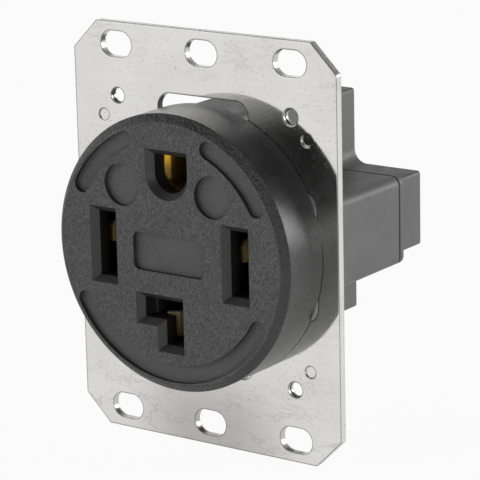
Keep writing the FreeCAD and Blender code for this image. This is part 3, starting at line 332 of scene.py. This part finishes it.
def contact_brass():
    """Rolled brass: painted light on the upper front of the ground contact, painted shade (brown) on the
    rest of it, olive in the other slots.
    """
    m = Material("contact_brass")
    drift = m.noise(0.3, 3.0, 0.6)
    brush = m.brushed()
    # Painted light: bright amber high up and near the front of the ground contact, fading lower down and
    # deeper in.
    upper = m.remap(m.z, LIT_LOW, LIT_HIGH, 0.0, 1.0, smooth=True)
    shallow = m.remap(m.y, LIT_NEAR, LIT_DEEP, 1.0, 0.0, smooth=True)
    painted_light = m.math("MINIMUM", m.math("ADD", m.both(upper, shallow), m.remap(drift, 0.35, 0.7, 0.0, 0.2)), 1.0)
    ground = m.math("GREATER_THAN", m.z, GROUND_LOW)
    # Olive is the tarnished brass of the other contacts; brown is painted shade on the ground contact.
    tarnish_and_shade = m.tint(ground, OLIVE, BROWN_SHADED)
    colour = m.tint(painted_light, tarnish_and_shade, AMBER_LIT)
    rough = m.remap(brush, 0.3, 0.7, 0.42, 0.56)
    normal = m.bump(brush, 0.1, 0.02, m.rounded(0.25))
    return m.shader(Base_Color=colour, Metallic=0.55, Roughness=rough, Normal=normal, Specular_IOR_Level=0.2)


LOOKS = {
    "face_plastic": face_plastic(),
    "body_plastic": body_plastic(),
    "plated_steel": plated_steel(),
    "contact_brass": contact_brass(),
    "terminal_brass": metal("terminal_brass", (0.80, 0.58, 0.26), (0.62, 0.42, 0.15), 0.25, 0.4),
    "terminal_silver": metal("terminal_silver", (0.80, 0.80, 0.78), (0.62, 0.62, 0.61), 0.22, 0.36),
    "terminal_green": metal("terminal_green", (0.10, 0.36, 0.16), (0.05, 0.22, 0.09), 0.3, 0.45),
    "spring_steel": metal("spring_steel", (0.58, 0.58, 0.58), (0.40, 0.40, 0.41), 0.25, 0.4),
    "screw_steel": metal("screw_steel", (0.70, 0.70, 0.67), (0.50, 0.50, 0.48), 0.25, 0.4),
}
for entry in frame["record"]["subparts"]:
    mesh = frame["nodes"][entry["node"]].data
    mesh.materials.clear()
    mesh.materials.append(LOOKS[entry["material_slot"]])

THREAD_PITCH, THREAD_DEPTH, THREAD_ROOT, THREAD_STEPS = 0.79, 0.28, 0.02, 40


def helix_ridge(mesh, centre, radius, low_y, high_y):
    """Triangular thread ridge that climbs a hole's wall from one side of the sheet to the other."""
    turns = (high_y - low_y - THREAD_PITCH) / THREAD_PITCH
    profile = [(THREAD_ROOT, -0.5), (-THREAD_DEPTH, 0.0), (THREAD_ROOT, 0.5)]
    rings = []
    for step in range(int(turns * THREAD_STEPS) + 1):
        angle = 2 * math.pi * step / THREAD_STEPS
        middle = low_y + THREAD_PITCH * (0.5 + step / THREAD_STEPS)
        ring = []
        for out, along in profile:
            reach = (radius + out) * MM
            y = (middle + along * THREAD_PITCH) * MM
            spot = centre + Vector((reach * math.cos(angle), y, reach * math.sin(angle)))
            ring.append(mesh.verts.new(spot))
        rings.append(ring)
    for one, following in zip(rings, rings[1:]):
        for i in range(3):
            j = (i + 1) % 3
            mesh.faces.new((one[i], one[j], following[j], following[i]))
    mesh.faces.new(reversed(rings[0]))
    mesh.faces.new(rings[-1])


def make_threads():
    """Threads in the strap's four cover-plate screw holes."""
    build = bmesh.new()
    half_x = PLATE_SCREWS["spacing_x_mm"] / 2 * MM
    half_z = PLATE_SCREWS["spacing_y_mm"] / 2 * MM
    for sx in (-1, 1):
        for sz in (-1, 1):
            centre = Vector((sx * half_x, 0.0, sz * half_z))
            helix_ridge(build, centre, PLATE_SCREWS["hole_r_mm"], STRAP_FRONT, STRAP_REAR)
    bmesh.ops.recalc_face_normals(build, faces=build.faces)
    mesh = bpy.data.meshes.new("plate_screw_threads")
    build.to_mesh(mesh)
    build.free()
    mesh.materials.append(LOOKS["plated_steel"])
    threads = bpy.data.objects.new("plate_screw_threads", mesh)
    bpy.context.collection.objects.link(threads)
    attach(threads, "root")


FLOOR_HALF, FLOOR_TONE = 6.0, 0.86
FLOOR_SEEN, FLOOR_MIRRORED = 0.94, 0.72


def make_floor():
    """Pale floor under the strap's lower edge; near white to the camera, with the object's soft shadow."""
    z = STRAP_LOW.z
    corners = [(sx * FLOOR_HALF, sy * FLOOR_HALF, z) for sx, sy in ((-1, -1), (1, -1), (1, 1), (-1, 1))]
    mesh = bpy.data.meshes.new("floor")
    mesh.from_pydata(corners, [], [(0, 1, 2, 3)])
    floor = bpy.data.objects.new("floor", mesh)
    bpy.context.collection.objects.link(floor)
    n = Nodes(bpy.data.materials.new("floor"))
    path = n.tree.nodes.new("ShaderNodeLightPath")
    seen = n.math("MULTIPLY", path.outputs["Is Camera Ray"], FLOOR_SEEN)
    mirrored = n.math("MAXIMUM", path.outputs["Is Glossy Ray"], path.outputs["Is Transmission Ray"])
    share = n.math("MAXIMUM", seen, n.math("MULTIPLY", mirrored, FLOOR_MIRRORED))
    diffuse = n.node("ShaderNodeBsdfDiffuse", Color=grey(FLOOR_TONE))
    glow = n.node("ShaderNodeEmission", Color=grey(1.0), Strength=1.0)
    mix = n.tree.nodes.new("ShaderNodeMixShader")
    for socket, value in zip(mix.inputs, (share, diffuse.outputs[0], glow.outputs[0])):
        n.feed(socket, value)
    n.node("ShaderNodeOutputMaterial", Surface=mix.outputs[0])
    mesh.materials.append(n.block)


DARK_SIDE = Vector((0.40, -0.74, 0.55)).normalized()
DARK_CORE, DARK_RIM = 0.95, 0.5
WORLD_BRIGHT, WORLD_DARK = 0.9, 0.03
CEILING, CEILING_FROM, CEILING_FULL = 0.2, 0.15, 0.8


def make_world():
    """White to the camera; for light and reflections bright, but dark behind the camera and above."""
    n = Nodes(bpy.data.worlds.new("studio"))
    bpy.context.scene.world = n.block
    heading = n.tree.nodes.new("ShaderNodeTexCoord").outputs["Generated"]
    towards = n.vector("DOT_PRODUCT", heading, DARK_SIDE, "Value")
    lit = n.remap(towards, DARK_RIM, DARK_CORE, WORLD_BRIGHT, WORLD_DARK, smooth=True)
    height = n.node("ShaderNodeSeparateXYZ", Vector=heading).outputs["Z"]
    overhead = n.remap(height, CEILING_FROM, CEILING_FULL, 1.0, CEILING, smooth=True)
    seen = n.tree.nodes.new("ShaderNodeLightPath").outputs["Is Camera Ray"]
    strength = n.math("MAXIMUM", seen, n.math("MULTIPLY", lit, overhead))
    back = n.node("ShaderNodeBackground", Color=grey(1.0), Strength=strength)
    n.node("ShaderNodeOutputWorld", Surface=back.outputs[0])


# Place in metres, width, height and watts
LAMPS = {
    "key": ((-0.9, -0.9, 0.6), 1.5, 1.0, 6.0),
    "fill": ((0.83, -0.56, 0.04), 0.30, 0.15, 2.0),
    "rear": ((0.72, 0.94, 0.20), 0.7, 0.4, 4.5),
}


def softbox(name, place, width, height, watts):
    """Area lamp aimed at the middle of the strap."""
    data = bpy.data.lights.new(name, "AREA")
    data.shape = "RECTANGLE"
    data.size, data.size_y = width, height
    data.energy = watts
    lamp = bpy.data.objects.new(name, data)
    lamp.location = place
    lamp.rotation_mode = "QUATERNION"
    lamp.rotation_quaternion = (-Vector(place)).to_track_quat("-Z", "Y")
    bpy.context.collection.objects.link(lamp)


AZIMUTH, ELEVATION, ROLL = 35.67, 14.80, -1.336
LENS, SENSOR = 201.99, 36.0
CLIP_NEAR, CLIP_FAR = 0.01, 50.0
RANGE, SHIFT_RIGHT, SHIFT_UP = 0.58786, 0.007464, 0.000302


def make_camera():
    """Long-lens camera at the photograph's viewing angle, in front of the strap's front side."""
    a, e, r = (math.radians(v) for v in (AZIMUTH, ELEVATION, ROLL))
    back = Vector((math.sin(a) * math.cos(e), -math.cos(a) * math.cos(e), math.sin(e)))
    level = Vector((math.cos(a), math.sin(a), 0.0))
    upright = back.cross(level)
    right = math.cos(r) * level + math.sin(r) * upright
    up = math.cos(r) * upright - math.sin(r) * level
    data = bpy.data.cameras.new("camera")
    data.lens = LENS
    data.sensor_width = SENSOR
    data.clip_start, data.clip_end = CLIP_NEAR, CLIP_FAR
    camera = bpy.data.objects.new("camera", data)
    camera.rotation_mode = "QUATERNION"
    camera.rotation_quaternion = Matrix((right, up, back)).transposed().to_quaternion()
    camera.location = Vector((0, STRAP_LOW.y, 0)) + RANGE * back + SHIFT_RIGHT * right + SHIFT_UP * up
    bpy.context.collection.objects.link(camera)
    bpy.context.scene.camera = camera


make_threads()
make_floor()
make_world()
for lamp_name, lamp in LAMPS.items():
    softbox(lamp_name, *lamp)
make_camera()
bpy.context.scene.view_settings.view_transform = "Standard"
